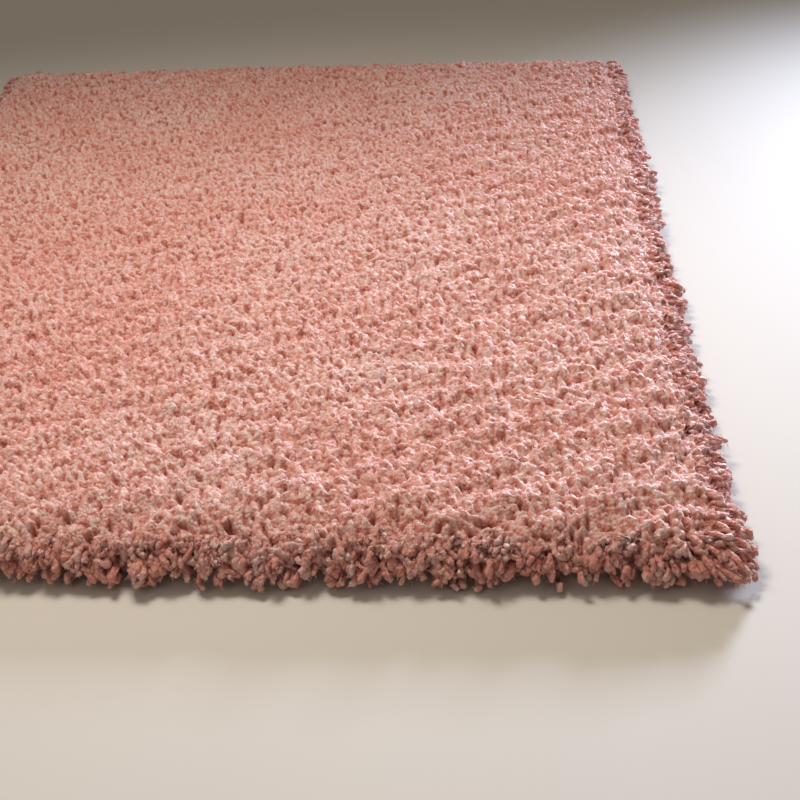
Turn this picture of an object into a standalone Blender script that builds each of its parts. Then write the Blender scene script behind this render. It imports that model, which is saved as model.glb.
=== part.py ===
"""A one-colour shag rug that lies flat on the floor.

The rug is one piece: blunt-cut pile yarn tufted into a ground cloth. Here it is one closed solid,
a lumpy slab of pile on the flat underside of its cloth. All round, the outermost tufts splay over
the edge of the cloth as separate locks, and the lowest of them rest on the floor.

Metres, +Z up. The origin is on the floor under the middle of the rug, and +Y runs along its length.
"""

import math
import random
from typing import NamedTuple

import bmesh
import bpy
from mathutils import Vector, noise

# Driving sizes
CLOTH_WIDTH = 0.660  # X, the ground cloth without the pile that hangs over its edge
CLOTH_LENGTH = 0.960  # Y
CORNER_RADIUS = 0.024  # of the cloth, in plan
PILE_TOP = 0.0300  # mean height of the pile above the floor
CLUMP_PITCH = 0.016  # between the clumps that the yarn ends gather into

# The relief of the top: slow waves, slanting ridges and single clumps
WAVE_HEIGHT = 0.0020
WAVE_LENGTH = 0.15
RIDGE_HEIGHT = 0.0016
RIDGE_PITCH = 0.043
RIDGE_SLANT = math.radians(30)  # from the front edge
RIDGE_WANDER = 0.8  # of a pitch
CLUMP_HEIGHT = 0.0026  # up or down, each clump by chance
CLUMP_SHIFT = 0.0028  # sideways, so that the clumps stand in no grid
SHOULDER_DROP = 0.0035  # the outermost clumps lean out, and stand this much lower

PILE_COLOUR = (0.70, 0.36, 0.30, 1.0)
PILE_ROUGHNESS = 0.75
SEED = 7


class RimRing(NamedTuple):
    """A line round the side: its height above the floor, and how far it stands out from the cloth."""

    height: float
    outset: float
    unevenness: float


RIM = (
    RimRing(height=0.0235, outset=0.0065, unevenness=0.0012),
    RimRing(height=0.0140, outset=0.0105, unevenness=0.0010),
    RimRing(height=0.0045, outset=0.0080, unevenness=0.0008),
    RimRing(height=0.0000, outset=0.0000, unevenness=0.0000),
)


class LockRow(NamedTuple):
    """A row of locks: the ring above its roots, the share of the faces there that carry one, how far
    a long one reaches out, and the height above the floor of its underside at its bend and tip."""

    ring_above: int
    share: float
    reach: float
    bend_foot: float
    tip_foot: float


LOCK_ROWS = (
    LockRow(ring_above=0, share=0.48, reach=0.0085, bend_foot=0.0160, tip_foot=0.0135),
    LockRow(ring_above=1, share=1.00, reach=0.0105, bend_foot=0.0028, tip_foot=0.0000),
)
BEND_AT = 0.45  # share of its reach at which a lock bends
BEND_SIZE = 0.66  # of the root's width and height
TIP_SIZE = 0.60  # of the bend's
SIDE_LEAN = 0.0038  # the most that a tip leans along the edge
REACH_SPREAD = 0.38  # a lock is up to this share shorter than the longest


def clear_scene():
    for item in list(bpy.data.objects):
        bpy.data.objects.remove(item)


def corner_centre(point):
    """The nearest point of the inner rectangle that the cloth's round corners turn about."""
    most_x = CLOTH_WIDTH / 2 - CORNER_RADIUS
    most_y = CLOTH_LENGTH / 2 - CORNER_RADIUS
    return Vector((max(-most_x, min(most_x, point.x)), max(-most_y, min(most_y, point.y)), 0.0))


def way_out(point):
    """The level direction straight out of the rug, for a point at its edge."""
    return (Vector((point.x, point.y, 0.0)) - corner_centre(point)).normalized()


def rounded(point):
    """A point of the plain rectangle, drawn in where that rectangle's corner has to be round."""
    centre = corner_centre(point)
    past = point - centre
    if past.length == 0:
        return point
    return centre + past * max(abs(past.x), abs(past.y)) / past.length


def swell(x, y):
    """How far the waves and the slanting ridges lift or lower the top at this place."""
    wave = noise.noise(Vector((x, y, 0.0)) / WAVE_LENGTH)
    wander = noise.noise(Vector((x, y, 0.0)) / (2 * RIDGE_PITCH) + Vector((0.0, 0.0, 5.0)))
    across = y * math.cos(RIDGE_SLANT) - x * math.sin(RIDGE_SLANT)
    ridge = math.sin(2 * math.pi * (across / RIDGE_PITCH + RIDGE_WANDER * wander))
    return WAVE_HEIGHT * wave + RIDGE_HEIGHT * ridge


def add_pile_top(mesh, chance):
    """The top as an open grid in the cloth's outline, with one vertex for each clump of yarn ends."""
    columns = round(CLOTH_WIDTH / CLUMP_PITCH)
    rows = round(CLOTH_LENGTH / CLUMP_PITCH)
    bmesh.ops.create_grid(mesh, x_segments=columns, y_segments=rows, size=0.5)
    for clump in mesh.verts:
        place = rounded(Vector((clump.co.x * CLOTH_WIDTH, clump.co.y * CLOTH_LENGTH, 0.0)))
        place.z = PILE_TOP + swell(place.x, place.y) + chance.uniform(-CLUMP_HEIGHT, CLUMP_HEIGHT)
        shift = Vector([chance.uniform(-CLUMP_SHIFT, CLUMP_SHIFT) for _ in "xy"]).to_3d()
        if clump.is_boundary:
            place.z -= SHOULDER_DROP
            shift -= shift.project(way_out(place))
        clump.co = place + shift


def add_side(mesh, chance):
    """The side, which swells out over the cloth's edge, and the flat underside that closes it.
    Returns the band of faces below each ring but the last."""
    bands = []
    for ring in RIM:
        rim = [edge for edge in mesh.edges if edge.is_boundary]
        grown = bmesh.ops.extrude_edge_only(mesh, edges=rim)["geom"]
        for vertex in (item for item in grown if isinstance(item, bmesh.types.BMVert)):
            reach = CORNER_RADIUS + ring.outset + chance.uniform(-ring.unevenness, ring.unevenness)
            vertex.co = corner_centre(vertex.co) + way_out(vertex.co) * reach
            vertex.co.z = ring.height + chance.uniform(-ring.unevenness, ring.unevenness)
        bands.append([item for item in grown if isinstance(item, bmesh.types.BMFace)])
    bmesh.ops.holes_fill(mesh, edges=[edge for edge in mesh.edges if edge.is_boundary])
    return bands[1:]


def draw_out(mesh, face, step, size, foot):
    """Grows a lock by one stretch: a smaller end face, a step away, whose lowest point is at foot."""
    end = bmesh.ops.extrude_discrete_faces(mesh, faces=[face])["faces"][0]
    centre = end.calc_center_median()
    for vertex in end.verts:
        vertex.co = centre + (vertex.co - centre) * size + step
    lowest = min(vertex.co.z for vertex in end.verts)
    bmesh.ops.translate(mesh, vec=(0.0, 0.0, foot - lowest), verts=end.verts)
    return end


def add_locks(mesh, bands, chance):
    """The locks at the rim. Each grows out of a face of the side, bends and comes to a blunt tip."""
    for row in LOCK_ROWS:
        band = bands[row.ring_above]
        for root in chance.sample(band, round(row.share * len(band))):
            out = way_out(root.calc_center_median())
            along = Vector((-out.y, out.x, 0.0)) * chance.uniform(-SIDE_LEAN, SIDE_LEAN)
            reach = out * row.reach * (1 - chance.uniform(0.0, REACH_SPREAD))
            bend = draw_out(mesh, root, reach * BEND_AT, BEND_SIZE, row.bend_foot)
            draw_out(mesh, bend, reach * (1 - BEND_AT) + along, TIP_SIZE, row.tip_foot)


def centre_over_origin(mesh):
    """The locks differ in length, so the rug is moved until its reach is the same on both sides."""
    xs = [vertex.co.x for vertex in mesh.verts]
    ys = [vertex.co.y for vertex in mesh.verts]
    middle = Vector((min(xs) + max(xs), min(ys) + max(ys), 0.0)) / 2
    bmesh.ops.translate(mesh, vec=-middle, verts=mesh.verts)


def pile_material():
    material = bpy.data.materials.new("pile_yarn")
    material.use_nodes = True
    shader = material.node_tree.nodes["Principled BSDF"]
    shader.inputs["Base Color"].default_value = PILE_COLOUR
    shader.inputs["Roughness"].default_value = PILE_ROUGHNESS
    shader.inputs["Metallic"].default_value = 0.0
    return material


def make_rug():
    chance = random.Random(SEED)
    mesh = bmesh.new()
    add_pile_top(mesh, chance)
    add_locks(mesh, add_side(mesh, chance), chance)
    centre_over_origin(mesh)
    bmesh.ops.recalc_face_normals(mesh, faces=mesh.faces)
    rug = bpy.data.objects.new("shag_rug", bpy.data.meshes.new("shag_rug"))
    mesh.to_mesh(rug.data)
    mesh.free()
    rug.data.shade_smooth()
    rug.data.materials.append(pile_material())
    return rug


clear_scene()
collection = bpy.data.collections.new("shag_rug")
bpy.context.scene.collection.children.link(collection)
collection.objects.link(make_rug())
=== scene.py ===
"""The looks of a small shag rug in dusty salmon pink, laid round its fixed solid.

The pieces come in the order in which such a rug is made: the ground cloth, the pile, the loose
fibres on it, and the outer tufts that fall over the edge.
"""

import math

import bmesh
import bpy
import numpy as np
from mathutils import Matrix, Vector, noise


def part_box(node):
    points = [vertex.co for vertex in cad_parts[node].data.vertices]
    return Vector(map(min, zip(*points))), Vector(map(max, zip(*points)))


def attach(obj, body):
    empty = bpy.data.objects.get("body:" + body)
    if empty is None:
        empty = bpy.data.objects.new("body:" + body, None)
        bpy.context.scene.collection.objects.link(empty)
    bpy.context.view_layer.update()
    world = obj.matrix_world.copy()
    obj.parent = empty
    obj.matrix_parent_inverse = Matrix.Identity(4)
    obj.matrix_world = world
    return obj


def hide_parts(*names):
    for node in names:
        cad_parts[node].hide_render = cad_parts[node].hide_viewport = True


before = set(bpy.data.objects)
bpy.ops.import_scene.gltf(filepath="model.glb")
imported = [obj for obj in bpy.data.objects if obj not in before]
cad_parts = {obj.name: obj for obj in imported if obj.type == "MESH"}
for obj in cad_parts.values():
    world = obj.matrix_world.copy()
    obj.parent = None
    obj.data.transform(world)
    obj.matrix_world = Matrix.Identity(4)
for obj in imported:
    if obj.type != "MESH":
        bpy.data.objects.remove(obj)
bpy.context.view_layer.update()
_, rug_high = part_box("shag_rug")
chance = np.random.default_rng(11)


# ---------------------------------------------------------------------------- the ground cloth
# A firm plain-woven cloth that the yarn is tufted through. It is cut to a rectangle with eased
# corners, and its back is the face that lies on the floor. The outer tufts hide its edge.

PILE_OVERHANG = 0.0205  # how far the outer tufts reach past the cloth
CLOTH_CORNER = 0.024
CLOTH_THICKNESS = 0.0020
WEAVE_PITCH = 0.0032  # from thread to thread
WEAVE_DEPTH = 0.0006
SLUB_SCALE = 420.0  # thick places in the threads, for each metre
CLOTH_BEIGE = (0.62, 0.54, 0.45)
CLOTH_SHADE = (0.36, 0.30, 0.24)

cloth_half = Vector((rug_high.x - PILE_OVERHANG, rug_high.y - PILE_OVERHANG, 0.0))


class Wire:
    """A value in a material: arithmetic on it adds the nodes that work it out."""

    def __init__(self, tree, socket):
        self.tree, self.socket = tree, socket

    def node(self, kind, settings=None, out=0, **values):
        """Adds a node, sets it up, feeds its sockets by name or number, and returns an output."""
        made = self.tree.nodes.new(kind)
        for name, value in (settings or {}).items():
            setattr(made, name, value)
        for name, value in values.items():
            entry = made.inputs[int(name[1:]) if name[1:].isdigit() else name.replace("_", " ")]
            if isinstance(value, Wire):
                self.tree.links.new(value.socket, entry)
            else:
                entry.default_value = value
        return Wire(self.tree, made.outputs[out])

    def math(self, operation, other=0.0, swap=False):
        first, second = (other, self) if swap else (self, other)
        return self.node("ShaderNodeMath", {"operation": operation}, i0=first, i1=second)

    def __add__(self, other):
        return self.math("ADD", other)

    def __sub__(self, other):
        return self.math("SUBTRACT", other)

    def __rsub__(self, other):
        return self.math("SUBTRACT", other, swap=True)

    def __mul__(self, other):
        return self.math("MULTIPLY", other)

    __radd__, __rmul__ = __add__, __mul__

    def wave(self):
        """A sine of the value, which is in turns, brought to 0..1."""
        return (self * (2 * math.pi)).math("SINE") * 0.5 + 0.5

    def clamped(self):
        return self.node("ShaderNodeClamp", Value=self)

    def blend(self, low, high):
        """The colour low where the value is 0 and high where it is 1."""
        settings = {"data_type": "RGBA", "clamp_factor": True}
        low, high = (c if isinstance(c, Wire) else (*c, 1.0) for c in (low, high))
        return self.node("ShaderNodeMix", settings, 2, i0=self, i6=low, i7=high)

    def noise(self, scale, detail=2.0, roughness=0.5):
        """A noise of 0..1 at this place."""
        settings = {"noise_dimensions": "3D"}
        return self.node("ShaderNodeTexNoise", settings, 0, Vector=self, Scale=scale, Detail=detail,
                         Roughness=roughness)


def new_material(name):
    """A plain material, its shader, and a starting wire for its nodes."""
    material = bpy.data.materials.new(name)
    material.use_nodes = True
    tree = material.node_tree
    shader = tree.nodes["Principled BSDF"]
    return material, shader, Wire(tree, None)


def feed(shader, wire, entry):
    wire.tree.links.new(wire.socket, shader.inputs[entry])


def new_piece(name, mesh, material):
    """Puts a finished mesh in the scene as a piece of the rug."""
    piece = bpy.data.objects.new(name, mesh)
    bpy.context.scene.collection.objects.link(piece)
    mesh.materials.append(material)
    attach(piece, "root")
    return piece


def cloth_outline(inset):
    """A bmesh of one face in the cloth's outline, drawn in by inset, at floor level."""
    made = bmesh.new()
    bmesh.ops.create_grid(made, x_segments=1, y_segments=1, size=1.0)
    half = cloth_half - Vector((inset, inset, 0.0))
    bmesh.ops.scale(made, vec=(half.x, half.y, 1.0), verts=made.verts)
    bmesh.ops.bevel(made, geom=made.verts[:], offset=CLOTH_CORNER - inset, affect="VERTICES",
                    segments=6, profile=0.5, material=-1)
    return made


def cloth_material():
    material, shader, start = new_material("ground_cloth")
    place = start.node("ShaderNodeTexCoord", out="Object")
    across = place.node("ShaderNodeSeparateXYZ", out="X", Vector=place)
    along = place.node("ShaderNodeSeparateXYZ", out="Y", Vector=place)
    warp = (across * (1 / WEAVE_PITCH)).wave()
    weft = (along * (1 / WEAVE_PITCH)).wave()
    over = ((across + along) * (0.5 / WEAVE_PITCH)).wave()
    height = over * warp + (1 - over) * weft
    slub = place.noise(SLUB_SCALE, 3.0)
    feed(shader, (height * 0.7 + slub * 0.5).clamped().blend(CLOTH_SHADE, CLOTH_BEIGE), "Base Color")
    bump = start.node("ShaderNodeBump", Height=height + slub * 0.4, Strength=0.7,
                      Distance=WEAVE_DEPTH)
    feed(shader, bump, "Normal")
    shader.inputs["Roughness"].default_value = 0.9
    return material


def make_ground_cloth():
    made = cloth_outline(0.0)
    grown = bmesh.ops.extrude_face_region(made, geom=made.faces[:])["geom"]
    lifted = [item for item in grown if isinstance(item, bmesh.types.BMVert)]
    bmesh.ops.translate(made, vec=(0.0, 0.0, CLOTH_THICKNESS), verts=lifted)
    bmesh.ops.recalc_face_normals(made, faces=made.faces)
    mesh = bpy.data.meshes.new("ground_cloth")
    made.to_mesh(mesh)
    made.free()
    return new_piece("ground_cloth", mesh, cloth_material())


ground_cloth = make_ground_cloth()


# ----------------------------------------------------------------------------------- the pile
# Soft yarn, cut blunt. Its fluffed ends have felted together, and stand as close rounded bumps with
# dark pits between. They gather in clumps, the clumps lie in soft ridges that run slantwise over
# the rug, and the outermost slump over the edge of the cloth.

FALL_START = 0.036  # from the cloth's edge: further in, the pile stands upright
PILE_FALL = (  # (past the cloth's edge, height), from there over the shoulder down to the cloth
    (-0.0360, 0.0292),
    (-0.0230, 0.0284),
    (-0.0110, 0.0265),
    (-0.0015, 0.0232),
    (0.0060, 0.0182),
    (0.0110, 0.0120),
    (0.0090, 0.0060),
    (-0.0030, CLOTH_THICKNESS),
)
FALL_STEP = 0.002  # either way along the fall, to find its slope
EDGE_GIVE = ((0.0, 0.0), (0.4, 0.5), (0.8, 1.0), (1.0, 0.0))  # (share of the fall, how far it gives)
CORNER_BULGE = 0.16  # the pile reaches this share further at the corners
BUMPS_END = (0.9, 1.0)  # shares of the fall between which the bumps flatten out
PILE_CELL = 0.00178
PILE_BANDS = 4  # pieces that the pile is made as, from front to back
JITTER = (0.1, 0.9)  # where a bump or a clump lies in its cell
SPARE_CELLS = 3  # past the edge on each side
BUMP_PITCH = 0.0041
BUMP_SIZE = 0.70  # of the pitch
BUMP_HEIGHT = 0.0048
BUMP_CHANCE = 0.0019  # a bump stands up to this much higher or lower
CLUMP_PITCH = 0.0120
CLUMP_SIZE = 0.62  # of the pitch
CLUMP_DOME = 0.0012  # a clump's outer bumps stand this much lower
CLUMP_EDGE = 1.5  # from here out, of the square of its size, they stand no lower still
CLUMP_HEIGHT = 0.0012
SHOULDER_LEAN = 0.62  # of the slope there, that the tufts lean out
SHOULDER_RISE = 0.55  # the bumps stand this share higher where nothing holds them
SINK = 0.0028  # over half of the bumps' height, so that they straddle the smooth form
WAVE_HEIGHT = 0.0022
WAVE_LENGTH = 0.16
WAVE_PHASE = 7.0  # the phases pick which slice of the noise each kind of wave takes
RIDGE_HEIGHT = 0.0017
RIDGE_PITCH = 0.034
RIDGE_SLANT = math.radians(30)
RIDGE_WANDER = 0.9  # of a pitch
WANDER_LENGTH = 0.11
WANDER_PHASE = 3.0
EDGE_WAVE = 0.011  # the pile reaches further here and less far there, in long waves
EDGE_WAVE_LENGTH = 0.17
EDGE_WAVE_PHASE = 235.69

KNOT_SCALE = 420.0  # knots of fluff for each metre
KNOT_DEPTH = 0.0016
FLUFF_SCALE = 1100.0
FLUFF_DEPTH = 0.5  # of the knots'
DRIFT_SCALE = 9.0
BUMP_TONE = 0.3  # how far the bumps differ in tone
SHEEN_TINT = (1.0, 0.88, 0.87)
# painted shade darkens the pile low in its pits and at the strands' roots, and a painted highlight
# pales the tops of the bumps and the ends of the strands
ROOT_SHADE_COLOUR = (0.42, 0.088, 0.058)
BODY_COLOUR = (0.78, 0.325, 0.275)
TIP_HIGHLIGHT_COLOUR = (0.89, 0.675, 0.665)
BODY_START = 0.25  # the painted root shade gives way to the body's colour from here
BODY_RISE = 1.5  # and this fast, on the way up a bump or along a strand
PALE_START = 0.71  # the body's colour gives way to the painted tip highlight from here
PALE_RISE = 3.0
PALE_DRIFT = 0.9  # how much slow patches shift that
PALE_FLUFF = 1.7  # and fine fluff


def noise_at(places, scale, phase):
    return np.array([noise.noise(Vector((x / scale, y / scale, phase))) for x, y in places])


def clumps_of(low, high, pitch):
    """A jittered grid of clumps over a field: where it starts, its pitch, the clumps' middles, and
    three chance numbers of each."""
    cells = np.ceil((high - low) / pitch).astype(int) + 2 * SPARE_CELLS
    middles = np.stack(np.meshgrid(*[np.arange(n) for n in cells], indexing="ij"), 2).astype(float)
    low = low - SPARE_CELLS * pitch
    middles = low + (middles + chance.uniform(*JITTER, middles.shape)) * pitch
    return low, pitch, middles, chance.uniform(-1, 1, (*cells, 3))


def nearest_clump(places, clumps):
    """The middle of the clump that each place belongs to, and its three chance numbers."""
    low, pitch, middles, lot = clumps
    home = ((places - low) / pitch).astype(int)
    best = np.full(len(places), np.inf)
    middle, luck = np.zeros_like(places), np.zeros((len(places), 3))
    for step in np.ndindex(3, 3):
        near = home + np.array(step) - 1
        found = middles[near[:, 0], near[:, 1]]
        far = ((found - places) ** 2).sum(1)
        closer = far < best
        best[closer] = far[closer]
        middle[closer] = found[closer]
        luck[closer] = lot[near[closer, 0], near[closer, 1]]
    return middle, luck


def edge_wave(places):
    return EDGE_WAVE * noise_at(places, EDGE_WAVE_LENGTH, EDGE_WAVE_PHASE)


def swell_at(places):
    """How far the waves and the slanting ridges lift the pile at each place."""
    across = places[:, 1] * math.cos(RIDGE_SLANT) - places[:, 0] * math.sin(RIDGE_SLANT)
    turn = across / RIDGE_PITCH + RIDGE_WANDER * noise_at(places, WANDER_LENGTH, WANDER_PHASE)
    ridge = np.sin(2 * np.pi * turn)
    return WAVE_HEIGHT * noise_at(places, WAVE_LENGTH, WAVE_PHASE) + RIDGE_HEIGHT * ridge


fall_reach, fall_height = np.array(PILE_FALL).T
fall_run = np.concatenate([[0], np.hypot(np.diff(fall_reach), np.diff(fall_height)).cumsum()])
level_half = np.array(cloth_half.xy) - FALL_START  # of the rectangle where the pile is level
unrolled_half = level_half + fall_run[-1]
bumps = clumps_of(-unrolled_half, unrolled_half, BUMP_PITCH)
clumps = clumps_of(-unrolled_half, unrolled_half, CLUMP_PITCH)


def pile_at(unrolled):
    """The pile over each place of its surface unrolled flat: the point, the way up out of the pile,
    how far up its bump it is from 0 to 1, the bump's chance numbers, and the way off its middle."""
    centre = unrolled.clip(-level_half, level_half)
    past = unrolled - centre
    run = np.abs(past).max(1)
    way = past / np.maximum(np.linalg.norm(past, axis=1), 1e-9)[:, None]
    flat = centre + way * run[:, None]
    corner = (2 * way[:, 0] * way[:, 1]) ** 2
    give = np.interp(run / fall_run[-1], *zip(*EDGE_GIVE))
    reach = FALL_START + np.interp(run, fall_run, fall_reach) + edge_wave(centre) * give
    reach *= 1 + CORNER_BULGE * corner * give
    smooth = np.column_stack([centre + way * reach[:, None], np.interp(run, fall_run, fall_height)])
    before, after = run - FALL_STEP, run + FALL_STEP
    out = np.interp(after, fall_run, fall_reach) - np.interp(before, fall_run, fall_reach)
    drop = np.interp(before, fall_run, fall_height) - np.interp(after, fall_run, fall_height)
    tilt = np.where(run > 0, np.arctan2(drop, out), 0.0)
    lean = SHOULDER_LEAN * tilt
    up = np.column_stack([way * np.sin(lean)[:, None], np.cos(lean)])
    middle, luck = nearest_clump(flat, bumps)
    far = ((flat - middle) ** 2).sum(1) / (BUMP_SIZE * BUMP_PITCH) ** 2
    dome = np.sqrt((1 - far).clip(0, 1))
    clump, clump_luck = nearest_clump(flat, clumps)
    clump_far = ((flat - clump) ** 2).sum(1) / (CLUMP_SIZE * CLUMP_PITCH) ** 2
    lift = (BUMP_HEIGHT * dome - SINK) * (1 + SHOULDER_RISE * np.sin(tilt).clip(0))
    lift += BUMP_CHANCE * luck[:, 0]
    lift += CLUMP_HEIGHT * clump_luck[:, 0] - CLUMP_DOME * clump_far.clip(0, CLUMP_EDGE)
    lift += swell_at(flat) * np.cos(tilt).clip(0, 1)
    lift *= np.interp(run / fall_run[-1], BUMPS_END, (1, 0))
    return smooth + up * lift[:, None], up, dome, luck, flat - middle


def pile_material(name, glow):
    """Fluffed yarn, with painted shade that darkens it at its roots and in its pits and a painted
    highlight that pales its ends. Where it has a glow, that share of the light passes through it,
    and where it has none, knots of fluff roughen it."""
    material, shader, start = new_material(name)
    tone = start.node("ShaderNodeAttribute", {"attribute_name": "tone"}, "Fac")
    rise = start.node("ShaderNodeAttribute", {"attribute_name": "rise"}, "Fac")
    place = start.node("ShaderNodeTexCoord", out="Object")
    fluff = place.noise(FLUFF_SCALE, 4.0, 0.7)
    drift = place.noise(DRIFT_SCALE)
    knot = place.node("ShaderNodeTexVoronoi", {"feature": "SMOOTH_F1"}, Vector=place,
                      Scale=KNOT_SCALE, Smoothness=0.3)
    # painted shade low on the bumps and strands, painted highlight at their tops and ends, shifted
    # at random by tone, slow patches and fluff
    body = (rise * BODY_RISE - BODY_START).clamped().blend(ROOT_SHADE_COLOUR, BODY_COLOUR)
    pale = (rise - PALE_START) * PALE_RISE + (tone - 0.5)
    pale += (drift - 0.5) * PALE_DRIFT + (fluff - 0.5) * PALE_FLUFF
    colour = pale.clamped().blend(body, TIP_HIGHLIGHT_COLOUR)
    feed(shader, colour, "Base Color")
    shader.inputs["Roughness"].default_value = 0.6
    shader.inputs["Specular IOR Level"].default_value = 0.45
    shader.inputs["Sheen Weight"].default_value = 0.5
    shader.inputs["Sheen Roughness"].default_value = 0.5
    shader.inputs["Sheen Tint"].default_value = (*SHEEN_TINT, 1.0)
    if glow:
        through = start.node("ShaderNodeBsdfTranslucent", Color=colour)
        surface = Wire(material.node_tree, shader.outputs[0])
        mixed = start.node("ShaderNodeMixShader", i0=glow, i1=surface, i2=through)
        feed(material.node_tree.nodes["Material Output"], mixed, "Surface")
    else:
        bump = start.node("ShaderNodeBump", Height=fluff * FLUFF_DEPTH - knot, Strength=0.9,
                          Distance=KNOT_DEPTH)
        feed(shader, bump, "Normal")
    return material


def make_pile():
    columns, rows = (round(2 * length / PILE_CELL) for length in unrolled_half)
    made = bmesh.new()
    bmesh.ops.create_grid(made, x_segments=columns, y_segments=round(rows / PILE_BANDS), size=1.0)
    bmesh.ops.triangulate(made, faces=made.faces)
    meshes, spots = [], []
    for at in range(PILE_BANDS):
        mesh = bpy.data.meshes.new(f"pile_{at + 1}")
        made.to_mesh(mesh)
        spot = np.empty(3 * len(mesh.vertices))
        mesh.vertices.foreach_get("co", spot)
        spot = spot.reshape(-1, 3)[:, :2] / 2 + 0.5
        corner = np.empty(len(mesh.loops), np.int32)
        mesh.loops.foreach_get("vertex_index", corner)
        mesh.uv_layers.new(name="OFBake").data.foreach_set("uv", spot[corner].ravel())
        spots.append(((spot + (0, at)) * (2, 2 / PILE_BANDS) - 1) * unrolled_half)
        meshes.append(mesh)
    made.free()
    points, _, dome, luck, _ = pile_at(np.concatenate(spots))
    pieces = []
    for mesh, mine in zip(meshes, np.split(np.arange(len(points)), PILE_BANDS)):
        mesh.vertices.foreach_set("co", points[mine].ravel())
        for label, values in (("tone", 0.5 + BUMP_TONE * luck[mine, 1]), ("rise", dome[mine])):
            mesh.attributes.new(label, "FLOAT", "POINT").data.foreach_set("value", values)
        mesh.update()
        mesh.shade_smooth()
        pieces.append(new_piece(mesh.name, mesh, pile_yarn))
    return pieces


pile_yarn = pile_material("pile_yarn", glow=0.0)
pile_pieces = make_pile()


# ----------------------------------------------------------------------------------- the fuzz
# The finest ends of the yarn: single fibres that stand out of each bump all over the pile and fan
# out from its middle. They are thin enough to let a good part of the light through.

FIBRES = 160000
FIBRE_PIECES = 2
FIBRE_LENGTH = 0.0036
FIBRE_SPREAD = (0.5, 1.2)  # of the length, each fibre by chance
FIBRE_WIDTH = 0.0006
FIBRE_SINK = 0.0012  # how deep in its bump a fibre's root is
FIBRE_SPLAY = 1.0  # how far a fibre leans away from the middle of its bump
FIBRE_LEAN = np.array([0.26, 0.26, 0.078])  # and how far by chance, least of all up or down
FIBRE_RISE = (0.65, 1.05)  # from the painted root shade towards the painted tip highlight, from the root to the tip
FIBRE_GLOW = 0.4  # the share of the light that passes through
PATH_POINTS = 4  # of the Bezier curve that a strand follows
SIDE_LEAN = 0.2  # how far the side that a strand's faces start from leans up or down
CRIMP_TURNS = 1.3  # waves in the length of a crimped strand
ABOVE_FLOOR = 0.0003  # the lowest that any strand lies
BAKE_MARGIN = 0.07  # round each strand in its square of the bake's layout


def bezier(paths, share):
    """Each path's place and direction at a share of its length."""
    left = 1 - share
    place = (left ** 3 * paths[:, 0] + 3 * left ** 2 * share * paths[:, 1]
             + 3 * left * share ** 2 * paths[:, 2] + share ** 3 * paths[:, 3])
    way = (left ** 2 * (paths[:, 1] - paths[:, 0]) + 2 * left * share * (paths[:, 2] - paths[:, 1])
           + share ** 2 * (paths[:, 3] - paths[:, 2]))
    return place, way / np.linalg.norm(way, axis=1, keepdims=True)


def lay_yarn(name, template, paths, radius, tone, rise, material, fray=0.0, crimp=0.0):
    """A piece of many strands: the template bent along each path, each strand a little uneven."""
    points, faces, corners = template
    count = len(paths)
    spot = np.empty((count, len(points), 3))
    side = chance.normal(size=(count, 3)) * (1, 1, SIDE_LEAN)
    start = chance.uniform(0, 2 * math.pi, count)
    for index, (x, y, share) in enumerate(points):
        middle, way = bezier(paths, share)
        first = side - (side * way).sum(1, keepdims=True) * way
        first /= np.linalg.norm(first, axis=1, keepdims=True)
        second = np.cross(way, first)
        swell = radius * chance.normal(1.0, fray, count)
        bow = radius * crimp * np.sin(start + 2 * math.pi * CRIMP_TURNS * share)
        spot[:, index] = middle + (swell * x + bow)[:, None] * first + (swell * y)[:, None] * second
    spot[:, :, 2] = spot[:, :, 2].clip(ABOVE_FLOOR)
    mesh = bpy.data.meshes.new(name)
    mesh.vertices.add(count * len(points))
    mesh.vertices.foreach_set("co", spot.ravel())
    corner_of = np.concatenate(faces)
    mesh.loops.add(count * len(corner_of))
    starts = np.arange(count)[:, None] * len(points)
    mesh.loops.foreach_set("vertex_index", (starts + corner_of).ravel().astype(np.int32))
    sizes = np.array([len(face) for face in faces])
    mesh.polygons.add(count * len(faces))
    face_starts = np.arange(count)[:, None] * len(corner_of) + np.cumsum(sizes) - sizes
    mesh.polygons.foreach_set("loop_start", face_starts.ravel().astype(np.int32))
    mesh.update(calc_edges=True)
    cells = math.ceil(math.sqrt(count))
    cell = np.stack(np.divmod(np.arange(count), cells), 1)[:, None]
    in_cell = BAKE_MARGIN + (1 - 2 * BAKE_MARGIN) * corners
    mesh.uv_layers.new(name="OFBake").data.foreach_set("uv", ((cell + in_cell) / cells).ravel())
    low, high = rise
    for label, values in (
        ("tone", np.repeat(tone, len(points))),
        ("rise", np.tile(low + (high - low) * points[:, 2], count)),
    ):
        mesh.attributes.new(label, "FLOAT", "POINT").data.foreach_set("value", values)
    mesh.shade_smooth()
    return new_piece(name, mesh, material)


def straight_paths(roots, ways):
    """Paths that run straight from their roots, all the way that is given for each."""
    return roots[:, None] + ways[:, None] * np.linspace(0, 1, PATH_POINTS)[:, None]


def fibre_paths(count):
    """Fibres all over the pile, each fanning out from the middle of its bump."""
    points, up, _, _, off = pile_at(chance.uniform(-1, 1, (count, 2)) * unrolled_half)
    way = up + FIBRE_LEAN * chance.normal(size=(count, 3))
    way[:, :2] += FIBRE_SPLAY * off / BUMP_PITCH
    long = FIBRE_LENGTH * chance.uniform(*FIBRE_SPREAD, count)
    way *= (long / np.linalg.norm(way, axis=1))[:, None]
    return straight_paths(points - up * FIBRE_SINK, way)


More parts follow.
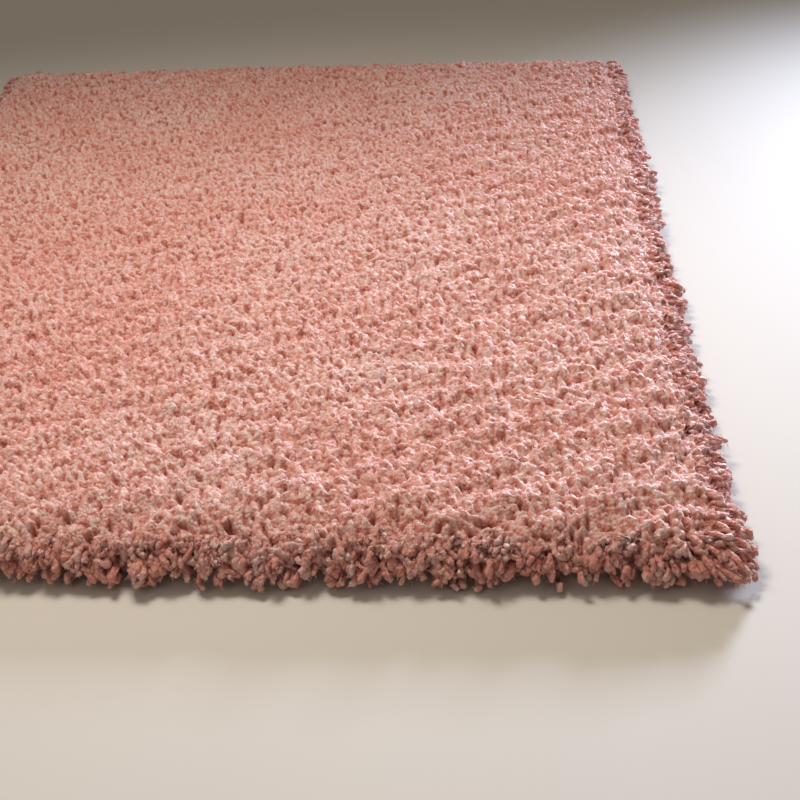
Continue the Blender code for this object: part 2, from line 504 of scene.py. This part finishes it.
fuzz = pile_material("pile_fuzz", glow=FIBRE_GLOW)
fibre = (  # one face: its points, its corners, and their places in the bake's layout
    np.array([(-0.5, 0.0, 0.0), (0.5, 0.0, 0.0), (0.0, 0.0, 1.0)]),
    [[0, 1, 2]],
    np.array([(0.0, 0.0), (1.0, 0.0), (0.5, 1.0)]),
)
for at in range(FIBRE_PIECES):
    paths = fibre_paths(FIBRES // FIBRE_PIECES)
    width = np.full(len(paths), FIBRE_WIDTH)
    tone = chance.uniform(0, 1, len(paths))
    pile_pieces.append(lay_yarn(f"pile_fuzz_{at + 1}", fibre, paths, width, tone, FIBRE_RISE, fuzz))


# ------------------------------------------------------------------------- the tufts of the rim
# Nothing holds up the outermost tufts, so their ends show: they splay over the cloth's edge, droop
# to the floor, gather in locks, and open like a fan at the corners.

RIM_PIECES = 2
RIM_PITCH = 0.0031
RIM_JITTER = 0.42  # of the pitch
RIM_TURN = 0.018  # past the cloth, where the corners' tufts are spaced at that pitch
RIM_RADIUS = 0.0019
RADIUS_CHANCE = 0.18  # of the radius, as its limits, the fray and the crimp are
RADIUS_LIMITS = (0.6, 1.5)
RIM_FRAY = 0.12
RIM_CRIMP = 0.50
RIM_SIDES = 4
RIM_LENGTH = 0.018
LENGTH_CHANCE = (0.8, 1.2)  # of the length
RIM_WANDER = 0.0042
ROOT_LIFT = 0.006  # a root lies this much over half of its tip's height
ARCH_LIFT = 0.0035  # over its tip, where a tuft starts to droop
ARCH_PLACES = (0.55, 0.4)  # shares of the length back from its tip, at the ends of that arch
RIM_DROOP = 0.55  # how far the droop of a tuft is up to chance
TIP_REACH = 0.0018  # and how far the reach and the height of its tip are
TIP_HEIGHT = 0.0012
LOWEST = 0.0026  # the middle line of a tuft above the floor
RIM_TONE = 0.18
RIM_RISE = (0.08, 0.86)  # from the painted root shade towards the painted tip highlight, from the root to the tip
UPPER_PAINTED_LIGHT = 0.3  # painted highlight: the tufts of the upper rim are painted paler, as the field's bump tops are
UPPER_SHARE = 0.6

RIM_LOCK = 0.0120  # from lock to lock
LOCK_GATHER = (0.42, 0.36)  # shares of the way, along and down the rim, to the middle of the lock
LOCK_SCATTER = 0.0009
LOCK_LEAN = 0.0024
LOCK_REACH = 0.0015  # a lock reaches this much further or less far
LOCK_HEIGHT = 0.0010
LOCK_TONE = 0.25
LUMP_LENGTH = 0.030  # the locks lie in lumps
LUMP_PHASE = 4.0
LUMP_REACH = 0.0070
LUMP_DROP = 0.0040
CORNER_THIN = 0.05  # the tufts of the fans are this share thinner
CORNER_LONG = 0.80  # and this share longer
CORNER_REACH = 0.36  # and reach this share further

RIM_FIBRES = 100000
RIM_FIBRE_LENGTH = 0.0032
RIM_FIBRE_WIDTH = 0.00054
RIM_FIBRE_PLACE = (0.5, 1.0)  # shares of a tuft's length between which its fibres stand
RIM_FIBRE_ROOT = 0.8  # of the tuft's radius
RIM_FIBRE_ALONG = 0.7  # how much a fibre follows its tuft
RIM_FIBRE_OFF = 0.6  # and how much it stands off
# from the painted root shade towards the painted tip highlight, from the root to the tip of each
# fibre
RIM_FIBRE_RISE = (0.62, 0.92)

RIM_PROFILE = (  # (share of the length, thickness there, of the radius)
    (0.00, 0.70),
    (0.50, 0.90),
    (0.80, 1.10),
    (0.96, 0.95),
    (1.00, 0.00),
)
RIM_FALL = (  # (share of the way down the rim, past the cloth's edge, height) of the tips there
    (0.00, 0.0040, 0.0225),
    (0.25, 0.0090, 0.0190),
    (0.55, 0.0150, 0.0145),
    (0.85, 0.0195, 0.0095),
    (1.00, 0.0200, 0.0045),
)
RIM_LONG = ((0.0, 0.6), (0.6, 1.0))  # (share of the way down, length of the tufts there)
RIM_BEND = ((0.0, 0.7), (0.3, 1.2), (0.6, 1.8), (1.0, 2.3))  # (that share, turn of the tips from up)


def yarn_template(profile, sides):
    """One straight strand of unit length and radius, turned from its profile: the vertices, the
    faces, and the place round and along the strand of each face's corners."""
    made = bmesh.new()
    line = [made.verts.new((thickness, 0.0, share)) for share, thickness in profile]
    edges = [made.edges.new(pair) for pair in zip(line, line[1:])]
    bmesh.ops.spin(made, geom=line + edges, cent=(0, 0, 0), axis=(0, 0, 1), angle=2 * math.pi,
                   steps=sides, use_merge=True)
    bmesh.ops.remove_doubles(made, verts=made.verts, dist=1e-4)
    bmesh.ops.recalc_face_normals(made, faces=made.faces)
    points = np.array([vertex.co for vertex in made.verts])
    faces, corners = [], []
    for face in made.faces:
        faces.append([vertex.index for vertex in face.verts])
        middle = face.calc_center_median().xy
        for vertex in face.verts:
            turn = math.atan2(middle.y, middle.x) - middle.angle_signed(vertex.co.xy, 0.0)
            corners.append((0.5 + turn / (2 * math.pi), vertex.co.z))
    made.free()
    return points, faces, np.array(corners)


def on_edge(distance, straight, sides, turn):
    """The centre that the edge turns about, and the way out, at a distance round the rug."""
    distance = distance % (sum(sides) + 4 * turn)
    centre, angle = np.zeros((len(distance), 2)), np.zeros(len(distance))
    start = 0.0
    corners = [(-1, -1), (1, -1), (1, 1), (-1, 1)]
    for at, side in enumerate(sides):
        here, then = (np.array(corners[at]) * straight, np.array(corners[(at + 1) % 4]) * straight)
        part = ((distance - start) / side).clip(0, 1)
        bend = ((distance - start - side) / turn).clip(0, 1)
        found = (distance >= start) & (distance < start + side + turn)
        centre[found] = (here + (then - here) * part[:, None])[found]
        angle[found] = (math.pi / 2 * (at - 1 + bend))[found]
        start += side + turn
    return centre, np.stack([np.cos(angle), np.sin(angle)], 1)


def rim_tufts():
    """The path, radius and tone, with a painted highlight on the upper rim, of each outer tuft, and
    its place round the rug from 0 to 1.
    """
    shares, reaches, heights = np.array(RIM_FALL).T
    depth = np.hypot(np.diff(reaches), np.diff(heights)).sum()
    straight = np.array(cloth_half.xy) - CLOTH_CORNER
    turn = math.pi / 2 * (CLOTH_CORNER + RIM_TURN)
    sides = [2 * straight[0], 2 * straight[1]] * 2
    around = sum(sides) + 4 * turn
    columns, rows = int(around / RIM_PITCH), int(depth / RIM_PITCH)
    column, row = np.meshgrid(np.arange(columns), np.arange(rows), indexing="ij")
    spots = np.stack([column + row % 2 / 2, row + 0.5], 2).reshape(-1, 2)
    spots += chance.uniform(-RIM_JITTER, RIM_JITTER, spots.shape)
    spots *= (around / columns, depth / rows)
    count = len(spots)
    middle, luck = nearest_clump(spots, clumps_of(spots.min(0), spots.max(0), RIM_LOCK))
    drawn = spots + np.array(LOCK_GATHER) * (middle - spots) + LOCK_LEAN * luck[:, 1:]
    drawn += chance.normal(0, LOCK_SCATTER, (count, 2))
    share = (drawn[:, 1] / depth).clip(0, 1)
    centre, out = on_edge(drawn[:, 0], straight, sides, turn)
    corner = (2 * out[:, 0] * out[:, 1]) ** 2
    lump = noise_at(drawn, LUMP_LENGTH, LUMP_PHASE) * share
    reach = np.interp(share, shares, reaches) + LUMP_REACH * lump + LOCK_REACH * luck[:, 0]
    reach += edge_wave(centre) * share + chance.normal(0, TIP_REACH, count)
    reach = (CLOTH_CORNER + reach) * (1 + CORNER_REACH * corner)
    height = np.interp(share, shares, heights) - LUMP_DROP * lump + LOCK_HEIGHT * luck[:, 0]
    height = (height + chance.normal(0, TIP_HEIGHT, count)).clip(LOWEST)
    droop = np.interp(share, *zip(*RIM_BEND)) + chance.normal(0, RIM_DROOP, count)
    long = RIM_LENGTH * np.interp(share, *zip(*RIM_LONG)) * chance.uniform(*LENGTH_CHANCE, count)
    long *= 1 + CORNER_LONG * corner
    start, end = ARCH_PLACES
    wander = chance.normal(0, RIM_WANDER, (count, 2))
    paths = np.empty((count, PATH_POINTS, 3))
    level = centre + out * (reach - long)[:, None]
    paths[:, 0] = np.column_stack([level, height / 2 + ROOT_LIFT])
    level = centre + out * (reach - start * long)[:, None] + wander / 2
    paths[:, 1] = np.column_stack([level, height + ARCH_LIFT])
    level = centre + out * (reach - end * long * np.sin(droop))[:, None] + wander
    paths[:, 2] = np.column_stack([level, (height - end * long * np.cos(droop)).clip(LOWEST)])
    paths[:, 3] = np.column_stack([centre + out * reach[:, None], height])
    radius = RIM_RADIUS * chance.normal(1.0, RADIUS_CHANCE, count).clip(*RADIUS_LIMITS)
    radius *= 1 - CORNER_THIN * corner
    tone = 0.5 + LOCK_TONE * luck[:, 0] + chance.normal(0, RIM_TONE, count)
    # painted highlight: the tufts of the upper rim are painted paler
    tone = (tone + UPPER_PAINTED_LIGHT * (UPPER_SHARE - share).clip(0)).clip(0, 1)
    return paths, radius, tone, spots[:, 0] / around


def rim_fibre_paths(paths, radius):
    """Fibres that stand off the outer half of the rim's tufts, and the tuft of each."""
    tuft = chance.integers(0, len(paths), RIM_FIBRES)
    middle, way = bezier(paths[tuft], chance.uniform(*RIM_FIBRE_PLACE, (RIM_FIBRES, 1)))
    off = chance.normal(size=(RIM_FIBRES, 3))
    off /= np.linalg.norm(off, axis=1, keepdims=True)
    root = middle + off * radius[tuft, None] * RIM_FIBRE_ROOT
    reach = RIM_FIBRE_LENGTH * chance.uniform(*FIBRE_SPREAD, (RIM_FIBRES, 1))
    reach = reach * (RIM_FIBRE_ALONG * way + RIM_FIBRE_OFF * off)
    reach[:, 2] = np.maximum(reach[:, 2], LOWEST / 2 - root[:, 2])
    return straight_paths(root, reach), tuft


strand = yarn_template(RIM_PROFILE, RIM_SIDES)
paths, radius, tone, around = rim_tufts()
for at in range(RIM_PIECES):
    mine = (around * RIM_PIECES).astype(int) == at
    pile_pieces.append(lay_yarn(f"pile_rim_{at + 1}", strand, paths[mine], radius[mine], tone[mine],
                                RIM_RISE, pile_yarn, RIM_FRAY, RIM_CRIMP))

fibres, tuft = rim_fibre_paths(paths, radius)
width = np.full(RIM_FIBRES, RIM_FIBRE_WIDTH)
pile_pieces.append(lay_yarn("pile_rim_fuzz", fibre, fibres, width, tone[tuft], RIM_FIBRE_RISE, fuzz))

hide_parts("shag_rug")


# ------------------------------------------------------------------- the floor, lights and camera
# A plain pale floor with a soft gloss. A cool low window stands behind the rug to its right, a warm
# broad lamp hangs over it, and a faint fill from the front and a dim warm sky soften the shade.

FLOOR_SIZE = 8.0
FLOOR_DROP = 0.0002  # below the cloth, so that the two don't share a plane
FLOOR_COLOUR = (0.60, 0.587, 0.570)
LAMPS = (  # (name, place, aimed at, size, beam, watts, colour)
    ("window", (0.955, 1.406, 0.536), (0.35, -0.60, 0.0), (0.35, 0.28), 45, 4.8, (0.77, 0.83, 1.0)),
    ("lamp", (-0.15, 0.08, 1.05), (0.05, -0.45, 0.0), (0.40, 0.40), 120, 5.1, (1.0, 0.89, 0.735)),
    ("fill", (-0.60, -1.30, 0.80), (-0.05, -0.50, 0.0), (0.60, 0.60), 120, 0.5, (1.0, 0.89, 0.735)),
)
SKY_COLOUR = (1.0, 0.85, 0.68)
SKY_STRENGTH = 0.28

CAMERA_PLACE = (0.220, -1.182, 0.479)
CAMERA_YAW = math.radians(4.74)
CAMERA_PITCH = math.radians(27.75)
CAMERA_ROLL = math.radians(-2.65)
CAMERA_LENS = 67.7


def make_floor():
    made = bmesh.new()
    bmesh.ops.create_grid(made, x_segments=1, y_segments=1, size=FLOOR_SIZE / 2)
    bmesh.ops.translate(made, vec=(0.0, 0.0, -FLOOR_DROP), verts=made.verts)
    mesh = bpy.data.meshes.new("floor")
    made.to_mesh(mesh)
    made.free()
    floor = bpy.data.objects.new("floor", mesh)
    bpy.context.scene.collection.objects.link(floor)
    material, shader, _ = new_material("floor")
    shader.inputs["Base Color"].default_value = (*FLOOR_COLOUR, 1.0)
    shader.inputs["Roughness"].default_value = 0.75
    shader.inputs["Specular IOR Level"].default_value = 0.15
    mesh.materials.append(material)


def make_lamps():
    for name, place, target, size, beam, watts, colour in LAMPS:
        light = bpy.data.lights.new(name, "AREA")
        light.shape, light.size, light.size_y = "RECTANGLE", *size
        light.energy, light.color, light.spread = watts, colour, math.radians(beam)
        lamp = bpy.data.objects.new(name, light)
        bpy.context.scene.collection.objects.link(lamp)
        lamp.location = place
        lamp.rotation_euler = (Vector(target) - lamp.location).to_track_quat("-Z", "Y").to_euler()
        lamp.visible_camera = False


def make_sky():
    world = bpy.data.worlds.new("studio")
    bpy.context.scene.world = world
    world.use_nodes = True
    backdrop = world.node_tree.nodes["Background"]
    backdrop.inputs["Color"].default_value = (*SKY_COLOUR, 1.0)
    backdrop.inputs["Strength"].default_value = SKY_STRENGTH


def make_camera():
    lens = bpy.data.cameras.new("camera")
    lens.lens, lens.sensor_width = CAMERA_LENS, 36.0
    lens.clip_start = 0.05
    camera = bpy.data.objects.new("camera", lens)
    bpy.context.scene.collection.objects.link(camera)
    camera.matrix_world = (
        Matrix.Translation(CAMERA_PLACE)
        @ Matrix.Rotation(CAMERA_YAW, 4, "Z")
        @ Matrix.Rotation(math.pi / 2 - CAMERA_PITCH, 4, "X")
        @ Matrix.Rotation(CAMERA_ROLL, 4, "Z")
    )
    bpy.context.scene.camera = camera
    bpy.context.scene.view_settings.view_transform = "Standard"


make_floor()
make_lamps()
make_sky()
make_camera()
